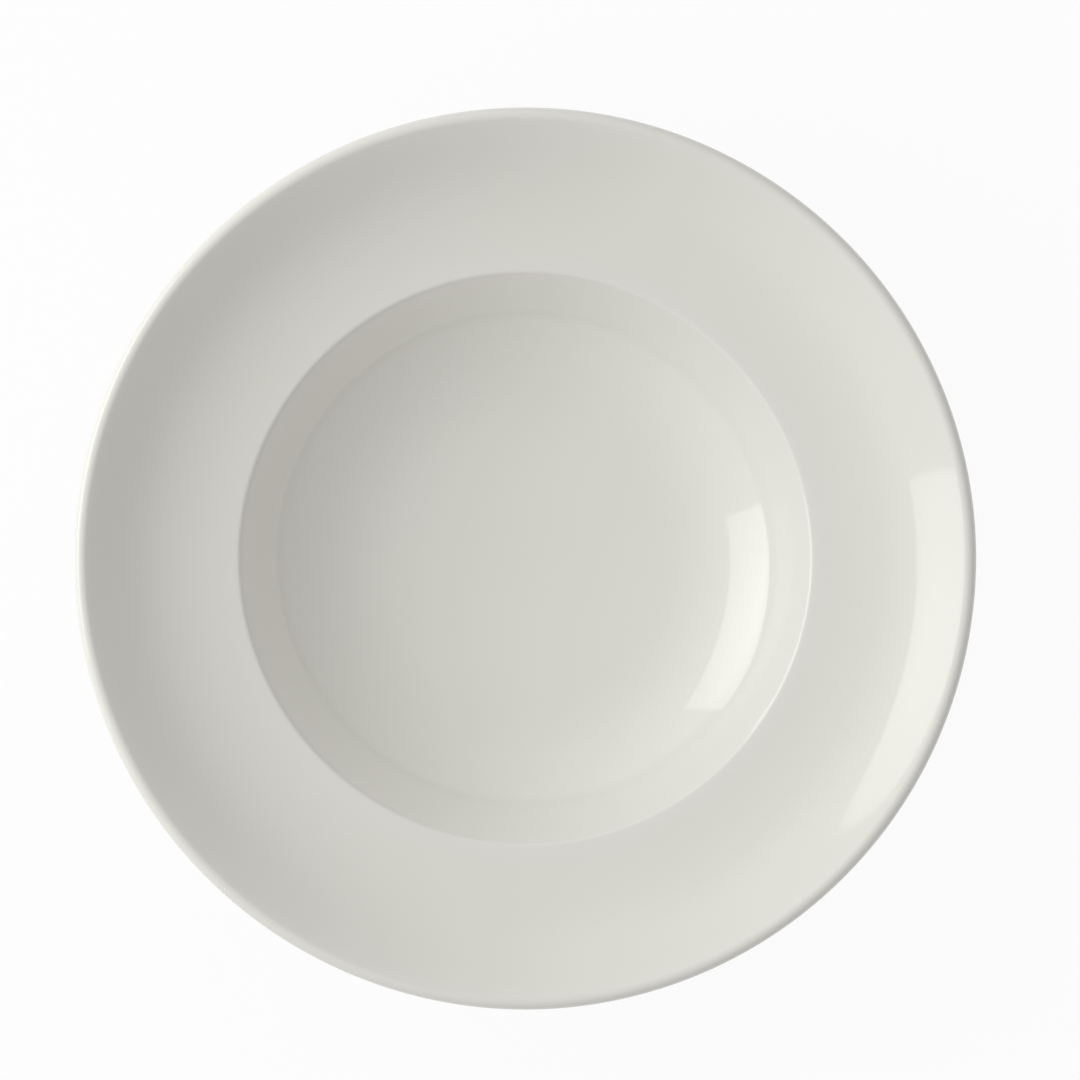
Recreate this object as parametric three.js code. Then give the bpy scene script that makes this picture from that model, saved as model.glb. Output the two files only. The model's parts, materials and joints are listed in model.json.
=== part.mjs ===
// Deep plate: a porcelain body with a foot ring, and the two coats of glaze fired onto it.
// Everything is a solid of revolution about +Z. The foot stands on z = 0. Lengths are in millimetres.

import * as THREE from "three";

// Overall sizes
const plateDiameter = 300;
const wellDiameter = 194; // where the rim starts
const wellDepth = 30.8; // from the start of the rim down to the middle of the floor
const rimRise = 18.2; // from the start of the rim up to the crest of the lip
const wall = 5.6; // thickness with its glaze, and the lip's full round

// Well and rim
const floorDiameter = 96; // the nearly flat middle of the well
const floorSlopeDegrees = 5.7; // at the edge of the floor
const flankLength = 14; // straight run at the top of the well's side
const edgeRadius = 2.2; // round from the well over to the rim
const heelRadius = 4; // hollow under that edge
const ledgeWidth = 4; // straight run at the start of the rim
const ledgeSlopeDegrees = 5.5;
const brimSlopeDegrees = 31.8; // where the rim runs into the lip
const ledgePull = 25.7; // how far the rim's curve keeps to the slope at each of its ends
const brimPull = 17.1;

// Foot ring
const footDiameter = 114; // over the standing face
const footWidth = 3.4; // of the ring at its standing face
const footRecess = 2.4; // height of the underside's middle above the table
const footTaperDegrees = 12; // lean of both walls of the ring
const footFillet = 3; // where the ring grows out of the underside
const footRound = 0.6; // on the two edges of the standing face

// Glaze
const glaze = 0.3; // thickness of the coat
const bareBand = 0.5; // wiped clean above the rounded edges of the foot

// Facets round the plate, and along each arc of the outline
const sides = 48;
const shortSteps = 2;
const longSteps = 4;
const rimSteps = 6;
const lipSteps = 3; // from its crest to its outermost point

const floorSlope = THREE.MathUtils.degToRad(floorSlopeDegrees);
const ledgeSlope = THREE.MathUtils.degToRad(ledgeSlopeDegrees);
const brimSlope = THREE.MathUtils.degToRad(brimSlopeDegrees);
const footTaper = THREE.MathUtils.degToRad(footTaperDegrees);

// The outline lies in the half-plane of radius (x) and height (y) and is walked clockwise: over the
// show face, round the lip, back along the underside, round the foot and in to the axis.

// The direction that faces out of a surface of the given slope: up at 0, outwards at -90 degrees.
function facing(slope) {
  return new THREE.Vector2(-Math.sin(slope), Math.cos(slope));
}

// The slope of an underside, which faces away from a top of the same slope.
function under(slope) {
  return slope - Math.PI;
}

// The point at a distance straight out of a surface.
function offset(point, slope, distance) {
  return point.clone().addScaledVector(facing(slope), distance);
}

// The point at a distance along a surface, outwards from the axis.
function along(point, slope, distance) {
  return new THREE.Vector2(Math.cos(slope), Math.sin(slope)).multiplyScalar(distance).add(point);
}

// One arc of the outline, as points with the direction that each faces. A bulging arc has a positive
// radius and its slope falls. A hollow one has a negative radius and its slope rises.
function bend(centre, radius, fromSlope, toSlope, steps) {
  return Array.from({ length: steps + 1 }, (_, i) => {
    const slope = THREE.MathUtils.lerp(fromSlope, toSlope, i / steps);
    return { point: offset(centre, slope, radius), out: facing(slope) };
  });
}

// The hollow arc that leaves a point at a given slope and reaches a target after a straight run.
// With the run also laid out behind the point, the chord of the whole bend has the mean slope.
function sweep(from, fromSlope, target, run) {
  const reach = target.clone().sub(along(from, fromSlope, -run));
  const slope = 2 * reach.angle() - fromSlope;
  const chord = along(target, slope, -run).distanceTo(from);
  const radius = chord / (2 * Math.sin((slope - fromSlope) / 2));
  return { centre: offset(from, fromSlope, radius), radius, slope };
}

// Floor of the well: a wide, shallow arc.
const floorHeight = footRecess + wall;
const floorRadius = floorDiameter / 2 / Math.sin(floorSlope);
const floorCentre = new THREE.Vector2(0, floorHeight + floorRadius);
const floorEnd = offset(floorCentre, floorSlope, -floorRadius);

// Side of the well, swept up to the round edge. The sweep passes through the centre of that round.
const rimStart = new THREE.Vector2(wellDiameter / 2, floorHeight + wellDepth);
const edgeCentre = offset(rimStart, ledgeSlope, -edgeRadius);
const side = sweep(offset(floorEnd, floorSlope, -edgeRadius), floorSlope, edgeCentre, flankLength);
const sideRadius = side.radius - edgeRadius;

// Rim: one curve from the ledge up to the lip's round, hollow first and bulging a little below the lip.
const lipRadius = wall / 2;
const lipCentre = new THREE.Vector2(plateDiameter / 2 - lipRadius, rimStart.y + rimRise - lipRadius);
const ledgeEnd = along(rimStart, ledgeSlope, ledgeWidth);
const brimEnd = offset(lipCentre, brimSlope, lipRadius);
const rimCurve = new THREE.CubicBezierCurve(
  ledgeEnd,
  along(ledgeEnd, ledgeSlope, ledgePull),
  along(brimEnd, brimSlope, -brimPull),
  brimEnd,
);

// The rim's upper face, walked outwards. Its last point is the first one of the lip's round.
const rimTop = Array.from({ length: rimSteps }, (_, i) => {
  const tangent = rimCurve.getTangent(i / rimSteps);
  return { point: rimCurve.getPoint(i / rimSteps), out: new THREE.Vector2(-tangent.y, tangent.x) };
});

// The rim's underside, one wall further down, walked back in.
const rimUnderside = rimTop.toReversed().map(({ point, out }) => {
  return { point: point.clone().addScaledVector(out, -wall), out: out.clone().negate() };
});

// The hollow under the well's edge rounds off the corner of the two straight runs, one wall further
// down. It needs a ledge as wide as its own reach.
const edgeMitre = facing(side.slope).add(facing(ledgeSlope));
edgeMitre.divideScalar(1 + facing(side.slope).dot(facing(ledgeSlope)));
const heelCentre = edgeCentre.clone().addScaledVector(edgeMitre, edgeRadius - wall - heelRadius);

// Foot ring: two leaning walls that end in the rounded edges of the standing face.
const footOuterSlope = -Math.PI / 2 - footTaper;
const footInnerSlope = -(3 * Math.PI) / 2 + footTaper;
const footOuterCentre = new THREE.Vector2(footDiameter / 2 - footRound, footRound);
const footInnerCentre = new THREE.Vector2(footDiameter / 2 - footWidth + footRound, footRound);

// The direction up along a wall of the foot.
function upWall(wallSlope) {
  const out = facing(wallSlope);
  return new THREE.Vector2(-out.y, out.x).multiplyScalar(Math.sign(out.x));
}

// A point of a glazed wall of the foot, at its rounded edge.
function footOf(roundCentre, wallSlope) {
  return offset(roundCentre, wallSlope, footRound + glaze);
}

// The fillet between a glazed wall of the foot and a bowl, which is a circle seen from outside.
// Its centre lies one fillet radius off both. The slope is the bowl's where they meet.
function filletOn(bowlCentre, bowlRadius, roundCentre, wallSlope) {
  const up = upWall(wallSlope);
  const start = offset(footOf(roundCentre, wallSlope), wallSlope, footFillet);
  const reach = start.clone().sub(bowlCentre);
  const along = reach.dot(up);
  const climb = -along - Math.sqrt(along ** 2 - reach.lengthSq() + (bowlRadius + footFillet) ** 2);
  const centre = start.addScaledVector(up, climb);
  return { centre, slope: Math.asin((centre.x - bowlCentre.x) / (bowlRadius + footFillet)) };
}

// A wall of the foot runs into the underside of the well's side or, further in, into that of its floor.
function footFilletAt(roundCentre, wallSlope) {
  const onSide = filletOn(side.centre, sideRadius + wall, roundCentre, wallSlope);
  const onFloor = filletOn(floorCentre, floorRadius + wall, roundCentre, wallSlope);
  return onSide.slope > floorSlope ? onSide : onFloor;
}

// Where the glaze stops on a wall of the foot.
function glazeStop(roundCentre, wallSlope) {
  const point = footOf(roundCentre, wallSlope).addScaledVector(upWall(wallSlope), bareBand);
  return { point, out: facing(wallSlope) };
}

// The underside of the well, walked inwards between two places that are given by their slopes.
function wellUnderside(fromSlope, toSlope, sideSteps) {
  const arcs = [];
  if (fromSlope > floorSlope) {
    const sideEnd = Math.max(toSlope, floorSlope);
    arcs.push(...bend(side.centre, sideRadius + wall, under(fromSlope), under(sideEnd), sideSteps));
  }
  if (toSlope < floorSlope) {
    const floorFrom = Math.min(fromSlope, floorSlope);
    arcs.push(...bend(floorCentre, floorRadius + wall, under(floorFrom), under(toSlope), shortSteps));
  }
  return arcs;
}

const outerFillet = footFilletAt(footOuterCentre, footOuterSlope);
const innerFillet = footFilletAt(footInnerCentre, footInnerSlope);

// The glazed surface from the middle of the well, over the lip, to the outside of the foot.
const upperSurface = [
  ...bend(floorCentre, -floorRadius, 0, floorSlope, shortSteps),
  ...bend(side.centre, -sideRadius, floorSlope, side.slope, longSteps),
  ...bend(edgeCentre, edgeRadius, side.slope, ledgeSlope, shortSteps),
  ...rimTop,
  ...bend(lipCentre, lipRadius, brimSlope, 0, shortSteps),
  ...bend(lipCentre, lipRadius, 0, -Math.PI / 2, lipSteps),
  ...bend(lipCentre, lipRadius, -Math.PI / 2, under(brimSlope), shortSteps),
  ...rimUnderside,
  ...bend(heelCentre, -heelRadius, under(ledgeSlope), under(side.slope), shortSteps),
  ...wellUnderside(side.slope, outerFillet.slope, longSteps),
  ...bend(outerFillet.centre, -footFillet, under(outerFillet.slope), footOuterSlope, shortSteps),
  glazeStop(footOuterCentre, footOuterSlope),
];

// The glazed surface inside the foot ring, in to the axis.
const baseSurface = [
  glazeStop(footInnerCentre, footInnerSlope),
  ...bend(innerFillet.centre, -footFillet, footInnerSlope, under(innerFillet.slope), shortSteps),
  ...wellUnderside(innerFillet.slope, 0, shortSteps),
];

// The bare foot, whose flat standing face lies between its two rounded edges.
const bareFoot = [
  ...bend(footOuterCentre, footRound, footOuterSlope, under(0), shortSteps),
  ...bend(footInnerCentre, footRound, under(0), footInnerSlope, shortSteps),
];

function finished(surface) {
  return surface.map(({ point }) => point);
}

// The body's own surface, one coat below the finished one.
function underGlaze(surface) {
  return surface.map(({ point, out }) => point.clone().addScaledVector(out, -glaze));
}

// A solid of revolution about +Z. Arcs that run into each other repeat a point, which is dropped.
function turned(outline) {
  const points = outline.filter((point, i) => i === 0 || point.distanceTo(outline[i - 1]) > 1e-6);
  return new THREE.LatheGeometry(points, sides).rotateX(Math.PI / 2);
}

// A solid whose outline was walked the other way round, so that its faces have to be turned out.
function turnedInsideOut(outline) {
  const geometry = turned(outline);
  const corners = geometry.getIndex().array;
  for (let i = 0; i < corners.length; i += 3) {
    [corners[i], corners[i + 1]] = [corners[i + 1], corners[i]];
  }
  geometry.computeVertexNormals();
  return geometry;
}

// Body and glaze walk their common surface the same way, so their facets there are the same ones.
const bodyGeometry = turnedInsideOut([
  ...underGlaze(upperSurface),
  ...finished(bareFoot),
  ...underGlaze(baseSurface),
]);
const upperGlazeGeometry = turned([...underGlaze(upperSurface), ...finished(upperSurface).reverse()]);
const baseGlazeGeometry = turned([...finished(baseSurface).reverse(), ...underGlaze(baseSurface)]);

const biscuit = new THREE.MeshStandardMaterial({ color: 0xdedacd, roughness: 0.75, metalness: 0 });
const ivoryGlaze = new THREE.MeshStandardMaterial({ color: 0xe6e5dc, roughness: 0.08, metalness: 0 });

function piece(name, geometry, material) {
  const mesh = new THREE.Mesh(geometry, material);
  mesh.name = name;
  return mesh;
}

const deepPlate = new THREE.Group();
deepPlate.add(
  piece("porcelain_body", bodyGeometry, biscuit),
  piece("upper_glaze", upperGlazeGeometry, ivoryGlaze),
  piece("base_glaze", baseGlazeGeometry, ivoryGlaze),
);

export default deepPlate;
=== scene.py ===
"""Deep plate: ivory-glazed porcelain with a bare foot ring, dressed around its CAD frame.

The plate is turned, so each piece is an outline carried once round the axis. The outline is a chain of
arcs, straight runs and one cubic curve in the half-plane of radius and height. It is walked clockwise:
from the middle of the well over the rim and the lip, back along the underside, round the foot and in to
the axis. Lengths are in metres.
"""

import json
import math

import bpy
import numpy as np
from mathutils import Matrix, Vector


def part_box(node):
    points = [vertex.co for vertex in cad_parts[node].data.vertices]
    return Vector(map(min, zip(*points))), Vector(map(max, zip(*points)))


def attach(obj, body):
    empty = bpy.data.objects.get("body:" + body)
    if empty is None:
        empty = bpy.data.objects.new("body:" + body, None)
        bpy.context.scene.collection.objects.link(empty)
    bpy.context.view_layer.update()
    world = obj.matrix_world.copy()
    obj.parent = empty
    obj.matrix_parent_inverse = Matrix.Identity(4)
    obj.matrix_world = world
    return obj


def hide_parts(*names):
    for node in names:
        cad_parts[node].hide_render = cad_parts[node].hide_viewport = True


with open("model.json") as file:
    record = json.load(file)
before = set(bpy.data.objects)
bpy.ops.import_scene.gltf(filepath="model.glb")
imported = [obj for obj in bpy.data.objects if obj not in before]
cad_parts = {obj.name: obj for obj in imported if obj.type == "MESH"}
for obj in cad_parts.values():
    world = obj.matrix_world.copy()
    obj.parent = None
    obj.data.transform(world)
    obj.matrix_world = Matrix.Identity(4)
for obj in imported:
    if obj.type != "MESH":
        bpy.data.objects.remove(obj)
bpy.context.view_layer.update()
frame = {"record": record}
upper_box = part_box("upper_glaze")
body_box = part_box("porcelain_body")
slot_colours = {material["slot"]: material["base_color"] for material in frame["record"]["materials"]}

# Overall sizes, and the thickness of the coat, from the frame
PLATE_RADIUS = upper_box[1].x
LIP_HEIGHT = upper_box[1].z
GLAZE = upper_box[1].x - body_box[1].x

# Well and rim
WELL_RADIUS = 0.097
WELL_DEPTH = 0.0308
RIM_RISE = 0.0182
WALL = 0.0056
FLOOR_RADIUS = 0.048
FLOOR_SLOPE = math.radians(5.7)
FLANK_LENGTH = 0.014
EDGE_ROUND = 0.0022
HEEL_ROUND = 0.004
LEDGE_WIDTH = 0.004
LEDGE_SLOPE = math.radians(5.5)
BRIM_SLOPE = math.radians(31.8)
LEDGE_PULL = 0.0257
BRIM_PULL = 0.0171

# Foot ring
FOOT_RADIUS = 0.057
FOOT_WIDTH = 0.0034
FOOT_TAPER = math.radians(12)
FOOT_FILLET = 0.003
FOOT_ROUND = 0.0006
BARE_BAND = 0.0005

# Marks of the making
BEAD_LENGTH = 0.0012
GLAZE_RIPPLE = 0.00008
KILN_SAG = 0.00015
POOLING_REACH = 0.004

# The waves of the ripple: crests round the plate, radians per metre along the outline, and the first phase
RIPPLE_WAVES = [(3, 61, 0.4), (5, -47, 1.9), (7, 83, 3.1), (11, -71, 4.4), (4, 118, 5.2)]

# How finely an outline is divided, by length and by turn, and how often it is repeated round the axis
FINE = {"length": 0.0016, "turn": math.radians(6)}
COARSE = {"length": 0.005, "turn": math.radians(18)}
BEAD_STEPS = 8
TURN_STEPS = 288
TURN = np.linspace(0, 2 * math.pi, TURN_STEPS, endpoint=False)

# Places nearer than this are one, and faces that meet at more than this angle have a sharp edge
SAME_PLACE = 1e-7
SHARP_ANGLE = math.radians(50)

# The columns of an outline's rows: radius and height, the way that the surface faces, and its curvature
PLACE = slice(0, 2)
FACING = slice(2, 4)
CURVATURE = 4

# The photograph: its side and the plate's outer circle in it, in pixels, and the camera's height in metres
PHOTO_SIDE = 1080
PLATE_CENTRE_PX = (525.14, 558.44)
PLATE_RADIUS_PX = 451.2
CAMERA_ABOVE_LIP = 1.6


def facing(slope):
    """The direction out of a surface of the given slope: minus its sine, and its cosine."""
    return np.stack([-np.sin(slope), np.cos(slope)], -1)


def under(slope):
    """The slope of an underside, which faces away from a top of the same slope."""
    return slope - math.pi


def offset(point, slope, distance):
    """The point at a distance straight out of a surface."""
    return np.asarray(point) + distance * facing(slope)


def along(point, slope, distance):
    """The point at a distance along a surface, outwards from the axis."""
    return np.asarray(point) + distance * np.array([math.cos(slope), math.sin(slope)])


def sweep(start, start_slope, target, run):
    """The hollow arc that leaves a point at a given slope and reaches a target after a straight run.

    With the run also laid out behind the start, the chord of the whole bend has the mean slope.
    """
    reach = target - along(start, start_slope, -run)
    slope = 2 * math.atan2(reach[1], reach[0]) - start_slope
    chord = along(target, slope, -run) - start
    radius = np.linalg.norm(chord) / (2 * math.sin((slope - start_slope) / 2))
    return {"centre": offset(start, start_slope, radius), "radius": radius, "slope": slope}


def up_wall(slope):
    """The direction up along a wall of the foot: the way it faces, turned a quarter."""
    out = facing(slope)
    return np.array([-out[1], out[0]]) * np.sign(out[0])


# Floor, side and edge of the well
FLOOR_HEIGHT = LIP_HEIGHT - RIM_RISE - WELL_DEPTH
FLOOR_BEND = FLOOR_RADIUS / math.sin(FLOOR_SLOPE)
FLOOR_CENTRE = np.array([0.0, FLOOR_HEIGHT + FLOOR_BEND])
FLOOR_END = offset(FLOOR_CENTRE, FLOOR_SLOPE, -FLOOR_BEND)
RIM_START = np.array([WELL_RADIUS, FLOOR_HEIGHT + WELL_DEPTH])
EDGE_CENTRE = offset(RIM_START, LEDGE_SLOPE, -EDGE_ROUND)
SIDE = sweep(offset(FLOOR_END, FLOOR_SLOPE, -EDGE_ROUND), FLOOR_SLOPE, EDGE_CENTRE, FLANK_LENGTH)
SIDE_BEND = SIDE["radius"] - EDGE_ROUND

# Rim and lip
LIP_ROUND = WALL / 2
LIP_CENTRE = np.array([PLATE_RADIUS - LIP_ROUND, LIP_HEIGHT - LIP_ROUND])
LEDGE_END = along(RIM_START, LEDGE_SLOPE, LEDGE_WIDTH)
BRIM_END = offset(LIP_CENTRE, BRIM_SLOPE, LIP_ROUND)
RIM_HANDLES = np.array([
    LEDGE_END,
    along(LEDGE_END, LEDGE_SLOPE, LEDGE_PULL),
    along(BRIM_END, BRIM_SLOPE, -BRIM_PULL),
    BRIM_END,
])

# The hollow under the well's edge rounds off the corner of the two straight runs, one wall further down
EDGE_MITRE = facing(SIDE["slope"]) + facing(LEDGE_SLOPE)
EDGE_MITRE /= 1 + facing(SIDE["slope"]) @ facing(LEDGE_SLOPE)
HEEL_CENTRE = EDGE_CENTRE + (EDGE_ROUND - WALL - HEEL_ROUND) * EDGE_MITRE

# Foot ring: the slopes of its two walls and the centres of its two rounded edges
OUTER_WALL = -math.pi / 2 - FOOT_TAPER
INNER_WALL = -3 * math.pi / 2 + FOOT_TAPER
OUTER_EDGE = np.array([FOOT_RADIUS - FOOT_ROUND, FOOT_ROUND])
INNER_EDGE = np.array([FOOT_RADIUS - FOOT_WIDTH + FOOT_ROUND, FOOT_ROUND])


def foot_fillet(edge, wall):
    """The fillet between a glazed wall of the foot and the underside of the well's side.

    Its centre lies one fillet radius off the wall and off that circle, which gives a square root along
    the wall.
    """
    start = offset(edge, wall, FOOT_ROUND + GLAZE + FOOT_FILLET)
    reach = start - SIDE["centre"]
    climbed = reach @ up_wall(wall)
    span = SIDE_BEND + WALL + FOOT_FILLET
    centre = start - (climbed + math.sqrt(climbed**2 - reach @ reach + span**2)) * up_wall(wall)
    return {"centre": centre, "slope": math.asin((centre[0] - SIDE["centre"][0]) / span)}


OUTER_FILLET = foot_fillet(OUTER_EDGE, OUTER_WALL)
INNER_FILLET = foot_fillet(INNER_EDGE, INNER_WALL)


def outline_rows(places, facings, curvature):
    """Rows of an outline: its places, the directions they face, and one curvature or one for each."""
    return np.hstack([places, facings, np.broadcast_to(curvature, (len(places), 1))])


def straight_rows(places, direction):
    """Rows of an outline that all face in one direction and have no curvature."""
    return outline_rows(places, np.repeat(direction[None], len(places), 0), 0.0)


def arc(centre, radius, from_slope, to_slope, grain):
    """One arc: its centre plus its radius times the facing, at even steps of slope.

    A bulging arc has a positive radius, a hollow one a negative radius.
    """
    turn = abs(to_slope - from_slope)
    steps = math.ceil(max(turn / grain["turn"], turn * abs(radius) / grain["length"]))
    out = facing(np.linspace(from_slope, to_slope, steps + 1))
    return outline_rows(centre + radius * out, out, 1 / radius)


def rim_face(grain):
    """The rim's upper face from the ledge to the lip: the cubic curve of its four handles, at even steps.

    The handles are weighted by the four terms of (rest + share) cubed. The first two derivatives give the
    facing and the curvature.
    """
    steps = math.ceil((BRIM_END[0] - LEDGE_END[0]) / grain["length"])
    share = np.linspace(0, 1, steps + 1)[:, None]
    rest = 1 - share
    places = np.hstack([rest**3, 3 * rest**2 * share, 3 * rest * share**2, share**3]) @ RIM_HANDLES
    pace = 3 * np.hstack([rest**2, 2 * rest * share, share**2]) @ np.diff(RIM_HANDLES, axis=0)
    turn = 6 * np.hstack([rest, share]) @ np.diff(RIM_HANDLES, 2, axis=0)
    speed = np.linalg.norm(pace, axis=1, keepdims=True)
    facings = np.stack([-pace[:, 1], pace[:, 0]], -1) / speed
    curvature = (pace[:, 1] * turn[:, 0] - pace[:, 0] * turn[:, 1])[:, None] / speed**3
    return outline_rows(places, facings, curvature)


def rim_back(grain):
    """The rim's underside, one wall below its upper face, walked in from the lip."""
    rows = rim_face(grain)[::-1]
    places = rows[:, PLACE] - WALL * rows[:, FACING]
    bend = rows[:, CURVATURE, None]
    return outline_rows(places, -rows[:, FACING], -bend / (1 - WALL * bend))


def run_between(first, second, grain):
    """The straight run from one row to another, at even steps, without the two rows themselves."""
    steps = math.ceil(np.linalg.norm(second[PLACE] - first[PLACE]) / grain["length"])
    share = np.arange(1, steps)[:, None] / steps
    return straight_rows(first[PLACE] + share * (second[PLACE] - first[PLACE]), first[FACING])


def chained(stretches, grain):
    """Stretches of outline in one array, with straight runs across the gaps and no place twice."""
    rows = stretches[0]
    for stretch in stretches[1:]:
        if np.allclose(rows[-1, PLACE], stretch[0, PLACE], rtol=0, atol=SAME_PLACE):
            rows = np.vstack([rows, stretch[1:]])
        else:
            rows = np.vstack([rows, run_between(rows[-1], stretch[0], grain), stretch])
    return rows


def glaze_stop(edge, wall):
    """The one row where the coat, at its full thickness, stops on a wall of the foot."""
    place = offset(edge, wall, FOOT_ROUND + GLAZE) + BARE_BAND * up_wall(wall)
    return straight_rows(place[None], facing(wall))


def glaze_bead(edge, wall):
    """The rounded end of the coat on a wall of the foot.

    It is a quarter of an ellipse, from full thickness to none, and the rows keep the wall's facing.
    """
    angle = np.linspace(0, math.pi / 2, BEAD_STEPS + 1)[:, None]
    thickness = FOOT_ROUND + GLAZE * np.cos(angle)
    height = BARE_BAND + BEAD_LENGTH * (1 - np.sin(angle))
    return straight_rows(edge + thickness * facing(wall) + height * up_wall(wall), facing(wall))


def upper_surface(grain, foot_end):
    """The glazed surface from the middle of the well, over the lip, to its end outside the foot."""
    side, foot = SIDE["slope"], OUTER_FILLET["slope"]
    stretches = [
        arc(FLOOR_CENTRE, -FLOOR_BEND, 0, FLOOR_SLOPE, grain),
        arc(SIDE["centre"], -SIDE_BEND, FLOOR_SLOPE, side, grain),
        arc(EDGE_CENTRE, EDGE_ROUND, side, LEDGE_SLOPE, grain),
        rim_face(grain),
        arc(LIP_CENTRE, LIP_ROUND, BRIM_SLOPE, under(BRIM_SLOPE), grain),
        rim_back(grain),
        arc(HEEL_CENTRE, -HEEL_ROUND, under(LEDGE_SLOPE), under(side), grain),
        arc(SIDE["centre"], SIDE_BEND + WALL, under(side), under(foot), grain),
        arc(OUTER_FILLET["centre"], -FOOT_FILLET, under(foot), OUTER_WALL, grain),
        foot_end(OUTER_EDGE, OUTER_WALL),
    ]
    return chained(stretches, grain)


def base_surface(grain, foot_end):
    """The glazed surface inside the foot, from its end on the ring in to the axis."""
    foot = INNER_FILLET["slope"]
    stretches = [
        foot_end(INNER_EDGE, INNER_WALL)[::-1],
        arc(INNER_FILLET["centre"], -FOOT_FILLET, INNER_WALL, under(foot), grain),
        arc(SIDE["centre"], SIDE_BEND + WALL, under(foot), under(FLOOR_SLOPE), grain),
        arc(FLOOR_CENTRE, FLOOR_BEND + WALL, under(FLOOR_SLOPE), under(0), grain),
    ]
    return chained(stretches, grain)


def bare_foot(grain):
    """The bare foot: two rounded edges with the flat standing face between them."""
    stretches = [
        arc(OUTER_EDGE, FOOT_ROUND, OUTER_WALL, under(0), grain),
        arc(INNER_EDGE, FOOT_ROUND, under(0), INNER_WALL, grain),
    ]
    return chained(stretches, grain)


def under_glaze(rows):
    """The body's own surface: the finished one moved in by the thickness of the coat."""
    lowered = rows.copy()
    lowered[:, PLACE] -= GLAZE * rows[:, FACING]
    return lowered


def walked(rows):
    """The distance walked along an outline at each of its rows."""
    steps = np.linalg.norm(np.diff(rows[:, PLACE], axis=0), axis=1)
    return np.concatenate([[0], np.cumsum(steps)])


def pooling(rows):
    """Where glaze gathers: 1 in a tight hollow, -1 on a sharp edge.

    It is the curvature evened out along the outline with a bell-shaped weight, turned about and kept
    within 1.
    """
    way = walked(rows)
    weight = np.exp(-(((way[:, None] - way) / POOLING_REACH) ** 2)) * np.gradient(way)
    evened = weight @ rows[:, CURVATURE] / weight.sum(1)
    return -np.tanh(evened * POOLING_REACH)


def ripple(rows):
    """The slow unevenness of a dipped coat at each row and turn: crossed waves that only thin the coat.

    The waves have whole numbers of crests round the plate, and they fade out towards the axis and the
    foot.
    """
    way = walked(rows)[:, None]
    waves = sum(np.cos(crests * TURN + pitch * way + phase) for crests, pitch, phase in RIPPLE_WAVES)
    radius, height = np.split(rows[:, PLACE], 2, axis=1)
    off_axis = np.clip(radius / FLOOR_RADIUS, 0, 1) ** 2
    off_foot = np.clip(height / FLOOR_HEIGHT, 0, 1) ** 2
    return GLAZE_RIPPLE * off_axis * off_foot * (waves / len(RIPPLE_WAVES) - 1) / 2


def kiln_sag(radius):
    """How far the fired rim has come down.

    It has two lobes round the plate and grows with the square of the overhang past the foot.
    """
    overhang = np.clip((radius - FOOT_RADIUS) / (PLATE_RADIUS - FOOT_RADIUS), 0, 1)
    return KILN_SAG * overhang**2 * (1 + np.cos(2 * TURN)) / 2


def carried_round(name, rows, lift=0.0):
    """A closed surface of revolution: the rows of an outline, from axis to axis, at even turns about Z.

    A point is (r cos t, r sin t, h), moved out of the surface by lift and down by the sag. The first and
    the last row lie on the axis: each is one point, joined to its neighbours by a fan of triangles.
    """
    rings = rows[1:-1]
    lift = np.broadcast_to(lift, (len(rows), TURN_STEPS))[1:-1]
    ring_radius, ring_height = np.split(rings[:, PLACE], 2, axis=1)
    outward, upward = np.split(rings[:, FACING], 2, axis=1)
    radius = ring_radius + lift * outward
    height = ring_height + lift * upward - kiln_sag(radius)
    points = np.stack([radius * np.cos(TURN), radius * np.sin(TURN), height], -1).reshape(-1, 3)
    poles = np.array([[0, 0, rows[0, 1]], [0, 0, rows[-1, 1]]])

    here = np.arange(TURN_STEPS)
    there = np.roll(here, -1)
    ring = TURN_STEPS * np.arange(len(rings) - 1)[:, None]
    following = ring + TURN_STEPS
    quads = np.stack([ring + here, following + here, following + there, ring + there], -1).reshape(-1, 4)
    first_pole = np.full(TURN_STEPS, len(points))
    last_ring = len(points) - TURN_STEPS
    first_fan = np.stack([first_pole, here, there], -1)
    last_fan = np.stack([first_pole + 1, last_ring + there, last_ring + here], -1)

    mesh = bpy.data.meshes.new(name)
    faces = quads.tolist() + first_fan.tolist() + last_fan.tolist()
    mesh.from_pydata(np.vstack([points, poles]), [], faces)
    mesh.shade_smooth()
    mesh.set_sharp_from_angle(angle=SHARP_ANGLE)
    piece = bpy.data.objects.new(name, mesh)
    bpy.context.scene.collection.objects.link(piece)
    return piece


def spread_pooling(piece, values):
    """Stores a value for each row of the outline on all points of that row."""
    per_point = np.concatenate([np.repeat(values[1:-1], TURN_STEPS), values[[0, -1]]])
    layer = piece.data.attributes.new("pooling", "FLOAT", "POINT")
    layer.data.foreach_set("value", per_point.astype(np.float32))


def upper_coat():
    """The upper coat: its finished face out to the foot, and its back on the body in again."""
    face = upper_surface(FINE, glaze_bead)
    back = under_glaze(upper_surface(COARSE, glaze_stop))[-2::-1]
    flat = np.zeros((len(back), TURN_STEPS))
    piece = carried_round("upper_coat", np.vstack([face, back]), np.vstack([ripple(face), flat]))
    spread_pooling(piece, np.concatenate([pooling(face), np.zeros(len(back))]))
    return piece


def base_coat():
    """The coat inside the foot: its back on the body out to the ring, and its finished face in again."""
    back = under_glaze(base_surface(COARSE, glaze_stop))[:0:-1]
    face = base_surface(FINE, glaze_bead)
    piece = carried_round("base_coat", np.vstack([back, face]))
    spread_pooling(piece, np.concatenate([np.zeros(len(back)), pooling(face)]))
    return piece


def biscuit_body():
    """The body: its surface under the two coats, with the bare foot between them."""
    upper = under_glaze(upper_surface(COARSE, glaze_stop))
    base = under_glaze(base_surface(COARSE, glaze_stop))
    return carried_round("biscuit_body", np.vstack([upper, bare_foot(FINE), base]))


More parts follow.
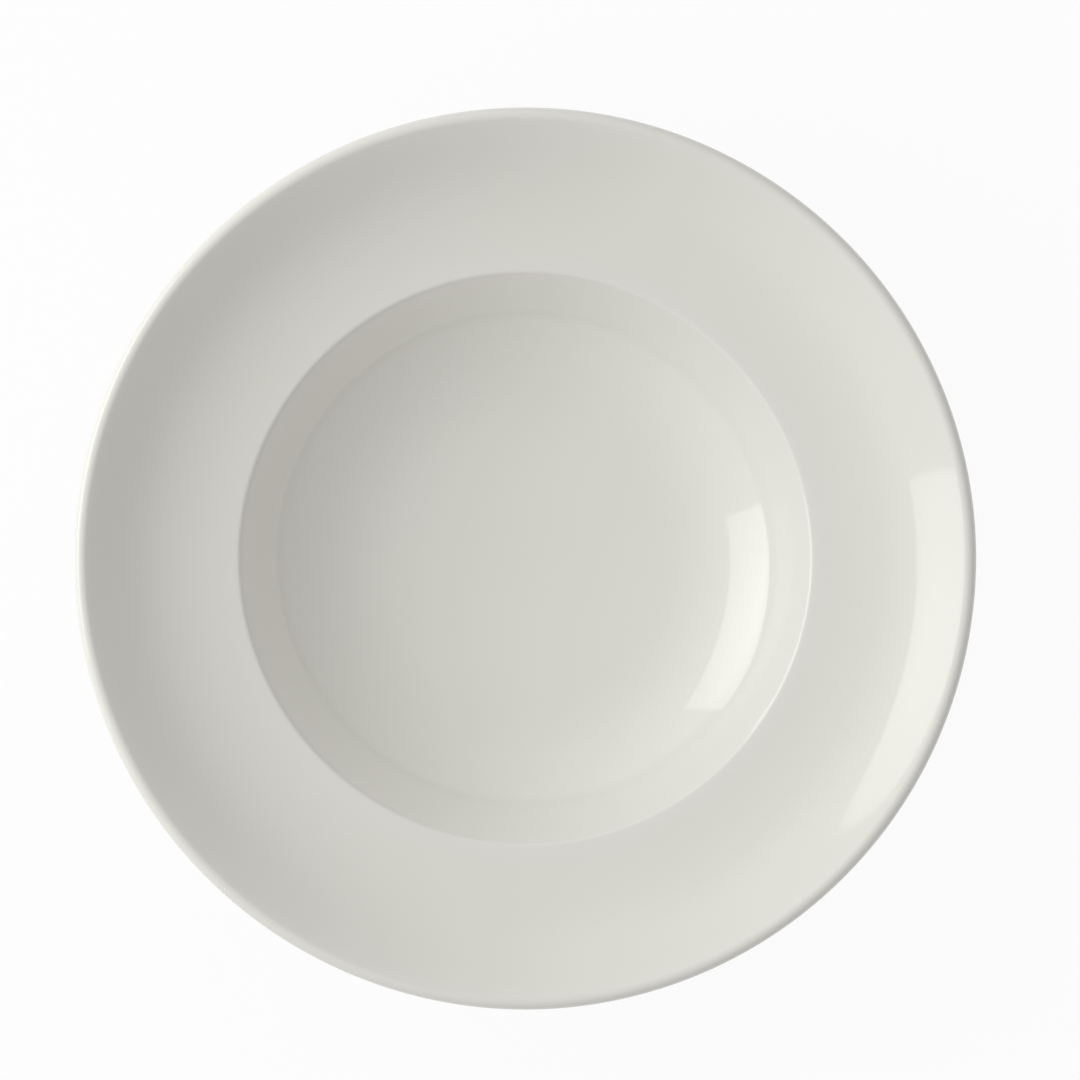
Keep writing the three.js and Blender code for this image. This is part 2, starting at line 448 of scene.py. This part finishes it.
# The colour sockets of a Mix node
COLOUR_A, COLOUR_B, MIXED_COLOUR = 6, 7, 2


class Nodes:
    """The nodes of one material, world or lamp, each made and wired in one call."""

    def __init__(self, owner):
        owner.use_nodes = True
        self.tree = owner.node_tree
        self.tree.nodes.clear()

    def add(self, kind, inputs, **settings):
        """A node with its settings and its inputs, which are values or other nodes' outputs.

        It gives the node's own outputs.
        """
        node = self.tree.nodes.new("ShaderNode" + kind)
        for name, value in settings.items():
            setattr(node, name, value)
        for name, value in inputs.items():
            if isinstance(value, bpy.types.NodeSocket):
                self.tree.links.new(value, node.inputs[name])
            else:
                node.inputs[name].default_value = value
        return node.outputs

    def noise(self, place, size, detail):
        """Cloudy noise from 0 to 1 whose clouds are about as large as the given size."""
        return self.add("TexNoise", {"Vector": place, "Scale": 1 / size, "Detail": detail})["Fac"]

    def ranged(self, value, source, target, **settings):
        """A value brought from one range into another, whose ends may be other nodes' outputs."""
        ends = {"From Min": source[0], "From Max": source[1], "To Min": target[0], "To Max": target[1]}
        return self.add("MapRange", {"Value": value, **ends}, **settings)["Result"]

    def eased(self, value, source, target):
        """A value brought from one range into another, slowly at both ends."""
        return self.ranged(value, source, target, interpolation_type="SMOOTHSTEP")

    def mixed(self, share, first, second):
        """Two colours mixed by a share of the second."""
        sockets = {"Factor": share, COLOUR_A: first, COLOUR_B: second}
        return self.add("Mix", sockets, data_type="RGBA")[MIXED_COLOUR]

    def combined(self, operation, first, second):
        """Two numbers put together by an operation of the Math node."""
        return self.add("Math", {0: first, 1: second}, operation=operation)["Value"]


def tinted(slot, factors):
    """A slot's colour, times a factor for each channel."""
    return (*np.multiply(slot_colours[slot], factors), 1.0)


def ivory_glaze():
    """Glossy ivory: paler where the coat thins over an edge, greener where it gathers, faintly clouded."""
    deep_cloud = tinted("ivory_glaze", (0.99, 0.99, 0.985))
    pale_cloud = tinted("ivory_glaze", (1.01, 1.01, 1.015))
    thin_coat = tinted("ivory_glaze", (1.04, 1.03, 1.05))
    thick_coat = tinted("ivory_glaze", (0.95, 0.97, 0.93))
    strongest_tint = 0.6
    smoothest, roughest = 0.045, 0.075
    peel_depth = 0.0000015

    finish = bpy.data.materials.new("ivory_glaze")
    nodes = Nodes(finish)
    place = nodes.add("TexCoord", {})["Object"]
    ivory = nodes.mixed(nodes.noise(place, size=0.045, detail=3.0), deep_cloud, pale_cloud)
    pool = nodes.add("Attribute", {}, attribute_name="pooling")["Fac"]
    thin = nodes.ranged(pool, (0.0, -1.0), (0.0, strongest_tint))
    thick = nodes.ranged(pool, (0.0, 1.0), (0.0, strongest_tint))
    over_edges = nodes.mixed(thin, ivory, thin_coat)
    colour = nodes.mixed(thick, over_edges, thick_coat)
    gloss = nodes.ranged(nodes.noise(place, size=0.017, detail=2.0), (0.0, 1.0), (smoothest, roughest))
    peel = nodes.noise(place, size=0.004, detail=1.0)
    relief = nodes.add("Bump", {"Height": peel, "Distance": peel_depth})["Normal"]
    shader = nodes.add(
        "BsdfPrincipled",
        {"Base Color": colour, "Roughness": gloss, "Normal": relief, "IOR": 1.5},
    )["BSDF"]
    nodes.add("OutputMaterial", {"Surface": shader})
    return finish


def bare_biscuit():
    """Bare fired porcelain: matt and finely grained, with the faint rings of a ground foot."""
    dark_clay = tinted("biscuit_porcelain", (0.93, 0.92, 0.9))
    pale_clay = tinted("biscuit_porcelain", (1.04, 1.05, 1.07))
    rubbed_in = tinted("biscuit_porcelain", (0.72, 0.7, 0.66))
    pits = (0.55, 0.8)
    strongest_rub = 0.35
    smoothest, roughest = 0.62, 0.86
    ring_depth, grain_depth = 0.000006, 0.00002

    finish = bpy.data.materials.new("bare_biscuit")
    nodes = Nodes(finish)
    place = nodes.add("TexCoord", {})["Object"]
    grain = nodes.noise(place, size=0.0006, detail=4.0)
    clay = nodes.mixed(nodes.noise(place, size=0.014, detail=3.0), dark_clay, pale_clay)
    colour = nodes.mixed(nodes.ranged(grain, pits, (0.0, strongest_rub)), clay, rubbed_in)
    rings = nodes.add(
        "TexWave",
        {"Vector": place, "Scale": 420.0, "Distortion": 2.0, "Detail": 2.0},
        wave_type="RINGS",
        rings_direction="Z",
    )["Fac"]
    ground = nodes.add("Bump", {"Height": rings, "Distance": ring_depth})["Normal"]
    relief = nodes.add("Bump", {"Height": grain, "Distance": grain_depth, "Normal": ground})["Normal"]
    rough = nodes.ranged(grain, (0.0, 1.0), (smoothest, roughest))
    shader = nodes.add(
        "BsdfPrincipled",
        {"Base Color": colour, "Roughness": rough, "Normal": relief},
    )["BSDF"]
    nodes.add("OutputMaterial", {"Surface": shader})
    return finish


def dress(piece, node, finish):
    """Puts a piece on the frame in place of its CAD node, with its finish."""
    piece.data.materials.append(finish)
    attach(piece, "root")
    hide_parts(node)


def studio_floor():
    """A pale floor, white to the camera and in reflections, that keeps the plate's shadow.

    The share of pure white grows with the distance from the axis, so the floor is painted darker round the
    foot: painted shade laid over the real shadow, which shows through most there.
    """
    half_side = 9.0
    paint = (0.93, 0.93, 0.93, 1)
    # painted shade: the distances from the axis over which the floor's painted darkening round the foot
    # fades out
    painted_shade_reach = (0.06, 0.16)
    white_shares = (0.3, 0.92)

    finish = bpy.data.materials.new("studio_floor")
    nodes = Nodes(finish)
    place = nodes.add("TexCoord", {})["Object"]
    distance = nodes.add("VectorMath", {0: place}, operation="LENGTH")["Value"]
    # painted shade: less pure white near the axis darkens the floor round the foot, over the real shadow
    white_share = nodes.eased(distance, painted_shade_reach, white_shares)
    ray = nodes.add("LightPath", {})
    sharp = nodes.combined("MAXIMUM", ray["Is Camera Ray"], ray["Is Glossy Ray"])
    seen = nodes.combined("MAXIMUM", sharp, ray["Is Transmission Ray"])
    share = nodes.combined("MULTIPLY", seen, white_share)
    lit = nodes.add("BsdfDiffuse", {"Color": paint})["BSDF"]
    white = nodes.add("Emission", {"Color": (1, 1, 1, 1), "Strength": 1.0})["Emission"]
    surface = nodes.add("MixShader", {0: share, 1: lit, 2: white})["Shader"]
    nodes.add("OutputMaterial", {"Surface": surface})

    mesh = bpy.data.meshes.new("studio_floor")
    corners = half_side * np.array([(-1, -1, 0), (1, -1, 0), (1, 1, 0), (-1, 1, 0)])
    mesh.from_pydata(corners, [], [(0, 1, 2, 3)])
    mesh.materials.append(finish)
    floor = bpy.data.objects.new("studio_floor", mesh)
    bpy.context.scene.collection.objects.link(floor)


def studio_room():
    """The room's light: pale walls over a dim strip along the floor, under a plain ceiling.

    Height, the sine of the elevation, picks the level. The walls and the strip grow evenly brighter from
    the far side of the room, which comes first in their levels, to the lamp's side.
    """
    bearing = math.radians(165)
    across_room = (-1.0, 1.0)
    wall_levels = (0.345, 1.205)
    strip_levels = (0.1, 0.48)
    ceiling_level = 0.63
    strip_top = (0.18, 0.26)
    wall_top = (0.6, 0.95)
    far_tint, lamp_tint = (1.03, 1.0, 1.015, 1), (0.985, 1.0, 1.0, 1)

    world = bpy.data.worlds.new("studio_room")
    nodes = Nodes(world)
    direction = nodes.add("TexCoord", {})["Generated"]
    height = nodes.add("SeparateXYZ", {"Vector": direction})["Z"]
    to_lamp = (math.cos(bearing), math.sin(bearing), 0)
    lamp_side = nodes.add("VectorMath", {0: direction, 1: to_lamp}, operation="DOT_PRODUCT")["Value"]
    walls = nodes.ranged(lamp_side, across_room, wall_levels)
    strip = nodes.ranged(lamp_side, across_room, strip_levels)
    sides = nodes.eased(height, strip_top, (strip, walls))
    level = nodes.eased(height, wall_top, (sides, ceiling_level))
    lamp_share = nodes.ranged(lamp_side, across_room, (0.0, 1.0))
    tint = nodes.mixed(lamp_share, far_tint, lamp_tint)
    light = nodes.add("Background", {"Color": tint, "Strength": level})["Background"]
    nodes.add("OutputWorld", {"Surface": light})
    bpy.context.scene.world = world


def soft_lamp():
    """One softbox to the left, hung above the floor: turned to the plate, leaning over it, rolled a little.

    Near and far, its ends, and low and high, its edges, are measured in its own plane from a point on the
    floor. It is brightest low in its middle and falls off smoothly with the distance from there.
    """
    distance = 1.2
    turn, lean, roll = math.radians(-7.4), math.radians(13.0), math.radians(-7.8)
    near, far, low, high = -0.306, 0.774, 0.269, 0.907
    radiance = 3.25
    brightest_across, brightest_up = 0.5, 0.2
    falloff, dimmest = 0.8, 0.45

    width, height = far - near, high - low
    lamp = bpy.data.lights.new("soft_lamp", "AREA")
    lamp.shape = "RECTANGLE"
    lamp.size = width
    lamp.size_y = height
    lamp.energy = radiance * math.pi * width * height
    nodes = Nodes(lamp)
    share = nodes.add("NewGeometry", {})["Parametric"]
    place = nodes.add("VectorMath", {0: share, 1: (width, height, 0)}, operation="MULTIPLY")["Vector"]
    brightest = (brightest_across * width, brightest_up * height, 0)
    away = nodes.add("VectorMath", {0: place, 1: brightest}, operation="DISTANCE")["Value"]
    glow = nodes.eased(away, (0.0, falloff), (1.0, dimmest))
    light = nodes.add("Emission", {"Strength": glow})["Emission"]
    nodes.add("OutputLight", {"Surface": light})

    ahead = Vector((math.cos(turn) * math.cos(lean), math.sin(turn) * math.cos(lean), -math.sin(lean)))
    level = Vector((-math.sin(turn), math.cos(turn), 0))
    steep = ahead.cross(level)
    across = math.cos(roll) * level + math.sin(roll) * steep
    rise = math.cos(roll) * steep - math.sin(roll) * level
    stand = Matrix((-across, rise, -ahead)).transposed().to_4x4()
    stand.translation = Vector((-distance, 0, 0)) + across * (near + far) / 2 + rise * (low + high) / 2
    holder = bpy.data.objects.new("soft_lamp", lamp)
    holder.matrix_world = stand
    holder.visible_camera = False
    bpy.context.scene.collection.objects.link(holder)


def overhead_camera():
    """A long lens straight above, shifted so that the plate sits where it does in the photograph."""
    camera = bpy.data.cameras.new("overhead_camera")
    half_frame = PHOTO_SIDE / 2 / PLATE_RADIUS_PX * PLATE_RADIUS
    camera.lens = camera.sensor_width / 2 * CAMERA_ABOVE_LIP / half_frame
    camera.shift_x = (PHOTO_SIDE / 2 - PLATE_CENTRE_PX[0]) / PHOTO_SIDE
    camera.shift_y = (PLATE_CENTRE_PX[1] - PHOTO_SIDE / 2) / PHOTO_SIDE
    holder = bpy.data.objects.new("overhead_camera", camera)
    holder.location = (0, 0, LIP_CENTRE[1] + CAMERA_ABOVE_LIP)
    bpy.context.scene.collection.objects.link(holder)
    bpy.context.scene.camera = holder


overhead_camera()
studio_floor()
studio_room()
soft_lamp()
glaze_finish = ivory_glaze()
dress(upper_coat(), "upper_glaze", glaze_finish)
dress(base_coat(), "base_glaze", glaze_finish)
dress(biscuit_body(), "porcelain_body", bare_biscuit())
bpy.context.scene.view_settings.view_transform = "Standard"
